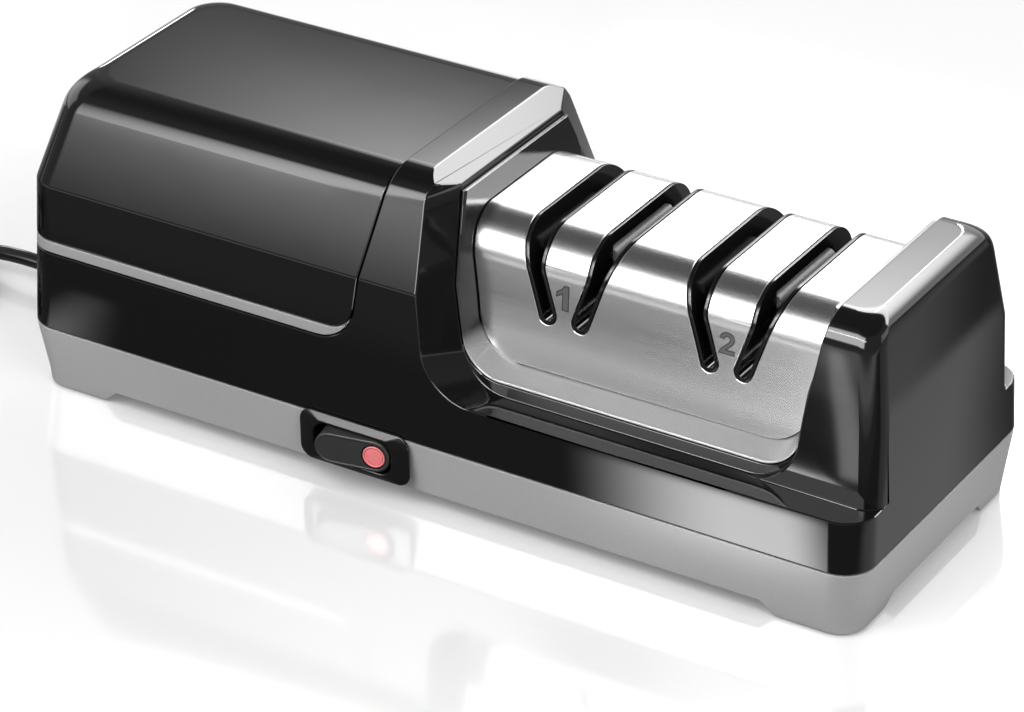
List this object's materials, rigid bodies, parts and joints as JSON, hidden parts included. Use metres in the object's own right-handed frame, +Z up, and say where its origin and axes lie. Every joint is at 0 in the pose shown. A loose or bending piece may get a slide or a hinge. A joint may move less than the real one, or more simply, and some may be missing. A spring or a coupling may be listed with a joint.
{
  "type": "electric knife sharpener",
  "caption": "Long bench sharpener with a motor under a tall black end, a bent stainless cover with V-shaped pairs of blade slots, a rocker switch on the grey base and a coiled cord.",
  "frame": {"origin": "centre of the bounding box at floor level, without the cord, coil and plug", "axes": "+X towards the end with the sharpening slots, +Y away from the switch side, +Z up"},
  "size_m": [0.3451, 0.1429, 0.0843],
  "materials": {
    "base_grey": "satin silver-grey plastic",
    "gloss_black": "polished black plastic",
    "trim_silver": "satin silver lacquer on plastic",
    "surround_silver": "satin silver lacquer on plastic",
    "stainless": "finely polished stainless sheet",
    "guide_black": "smooth black plastic",
    "presser_grey": "grey plastic",
    "pin_steel": "ground steel",
    "abrasive_grey": "bonded abrasive, stands in as matte",
    "spring_steel": "spring wire",
    "shaft_steel": "ground steel",
    "inner_plastic": "moulded inner plastic",
    "rotor_copper": "wound rotor, steel and copper",
    "motor_steel": "zinc-plated steel",
    "magnet_dark": "ferrite magnet, stands in as matte",
    "bush_bronze": "sintered bronze",
    "switch_black": "satin black plastic",
    "rocker_grey": "matte dark grey plastic",
    "lamp_red": "pale red lens",
    "board_green": "circuit board",
    "screw_steel": "zinc-plated steel",
    "pad_rubber": "soft rubber",
    "cord_black": "flexible cable sheath",
    "plug_black": "moulded plug",
    "blade_brass": "nickel-plated brass"
  },
  "bodies": {
    "case": {"base_shell": "base_grey", "upper_housing": "gloss_black", "motor_cover": "gloss_black", "trim_band": "trim_silver", "module_surround": "surround_silver", "steel_cover": "stainless", "motor_can": "motor_steel", "motor_front_bell": "motor_steel", "motor_rear_bell": "motor_steel", "motor_magnet_1": "magnet_dark", "motor_magnet_2": "magnet_dark", "motor_cradle": "inner_plastic", "switch_bezel": "switch_black", "switch_body": "switch_black", "rectifier_board": "board_green", "strain_relief": "cord_black", "power_cord": "cord_black", "cord_coil": "cord_black", "mains_plug": "plug_black", "plug_blade_1": "blade_brass", "plug_blade_2": "blade_brass", "inner_lead": "cord_black", "foot_pad_1": "pad_rubber", "slot_guide_1": "guide_black", "presser_pin_1": "pin_steel", "base_screw_1": "screw_steel", "foot_pad_2": "pad_rubber", "slot_guide_2": "guide_black", "presser_pin_2": "pin_steel", "base_screw_2": "screw_steel", "foot_pad_3": "pad_rubber", "slot_guide_3": "guide_black", "presser_pin_3": "pin_steel", "base_screw_3": "screw_steel", "foot_pad_4": "pad_rubber", "slot_guide_4": "guide_black", "presser_pin_4": "pin_steel", "base_screw_4": "screw_steel", "bearing_bracket_1": "inner_plastic", "shaft_bush_1": "bush_bronze", "bearing_bracket_2": "inner_plastic", "shaft_bush_2": "bush_bronze", "bearing_bracket_3": "inner_plastic", "shaft_bush_3": "bush_bronze"},
    "spindle": {"motor_rotor": "rotor_copper", "drive_shaft": "shaft_steel", "shaft_coupling": "inner_plastic", "cooling_fan": "inner_plastic", "disc_spring_1": "spring_steel", "disc_spring_2": "spring_steel"},
    "disc_1": {"grinding_disc_1": "abrasive_grey"},
    "disc_2": {"grinding_disc_2": "abrasive_grey"},
    "disc_3": {"grinding_disc_3": "abrasive_grey"},
    "disc_4": {"grinding_disc_4": "abrasive_grey"},
    "presser_1": {"blade_presser_1": "presser_grey"},
    "presser_2": {"blade_presser_2": "presser_grey"},
    "presser_3": {"blade_presser_3": "presser_grey"},
    "presser_4": {"blade_presser_4": "presser_grey"},
    "rocker": {"switch_rocker": "rocker_grey", "switch_lamp": "lamp_red"}
  },
  "joints": [
    {"name": "spindle_turn", "type": "hinge", "parent": "case", "child": "spindle", "pos_m": [0, 0.00261, 0.036], "axis": [1, 0, 0], "continuous": true},
    {"name": "disc_slide_1", "type": "slide", "parent": "spindle", "child": "disc_1", "axis": [1, 0, 0], "range_m": [0, 0.0009], "stiffness_N_per_m": 900, "springref_m": -0.0005, "deforming": ["disc_spring_1"]},
    {"name": "disc_slide_2", "type": "slide", "parent": "spindle", "child": "disc_2", "axis": [-1, 0, 0], "range_m": [0, 0.0009], "stiffness_N_per_m": 900, "springref_m": -0.0005, "deforming": ["disc_spring_1"]},
    {"name": "disc_slide_3", "type": "slide", "parent": "spindle", "child": "disc_3", "axis": [1, 0, 0], "range_m": [0, 0.0009], "stiffness_N_per_m": 900, "springref_m": -0.0005, "deforming": ["disc_spring_2"]},
    {"name": "disc_slide_4", "type": "slide", "parent": "spindle", "child": "disc_4", "axis": [-1, 0, 0], "range_m": [0, 0.0009], "stiffness_N_per_m": 900, "springref_m": -0.0005, "deforming": ["disc_spring_2"]},
    {"name": "presser_swing_1", "type": "hinge", "parent": "case", "child": "presser_1", "pos_m": [0.0281, 0.00261, 0.0586], "axis": [0, 1, 0], "range_deg": [0, 10], "stiffness_Nm_per_rad": 0.05, "springref_deg": -5.73},
    {"name": "presser_swing_2", "type": "hinge", "parent": "case", "child": "presser_2", "pos_m": [0.0321, 0.00261, 0.0586], "axis": [0, -1, 0], "range_deg": [0, 10], "stiffness_Nm_per_rad": 0.05, "springref_deg": -5.73},
    {"name": "presser_swing_3", "type": "hinge", "parent": "case", "child": "presser_3", "pos_m": [0.0723, 0.00261, 0.0586], "axis": [0, 1, 0], "range_deg": [0, 10], "stiffness_Nm_per_rad": 0.05, "springref_deg": -5.73},
    {"name": "presser_swing_4", "type": "hinge", "parent": "case", "child": "presser_4", "pos_m": [0.0763, 0.00261, 0.0586], "axis": [0, -1, 0], "range_deg": [0, 10], "stiffness_Nm_per_rad": 0.05, "springref_deg": -5.73},
    {"name": "rocker_tilt", "type": "hinge", "parent": "case", "child": "rocker", "pos_m": [-0.0185, -0.03859, 0.0124], "axis": [0, 0, -1], "range_deg": [0, 20.8]}
  ]
}
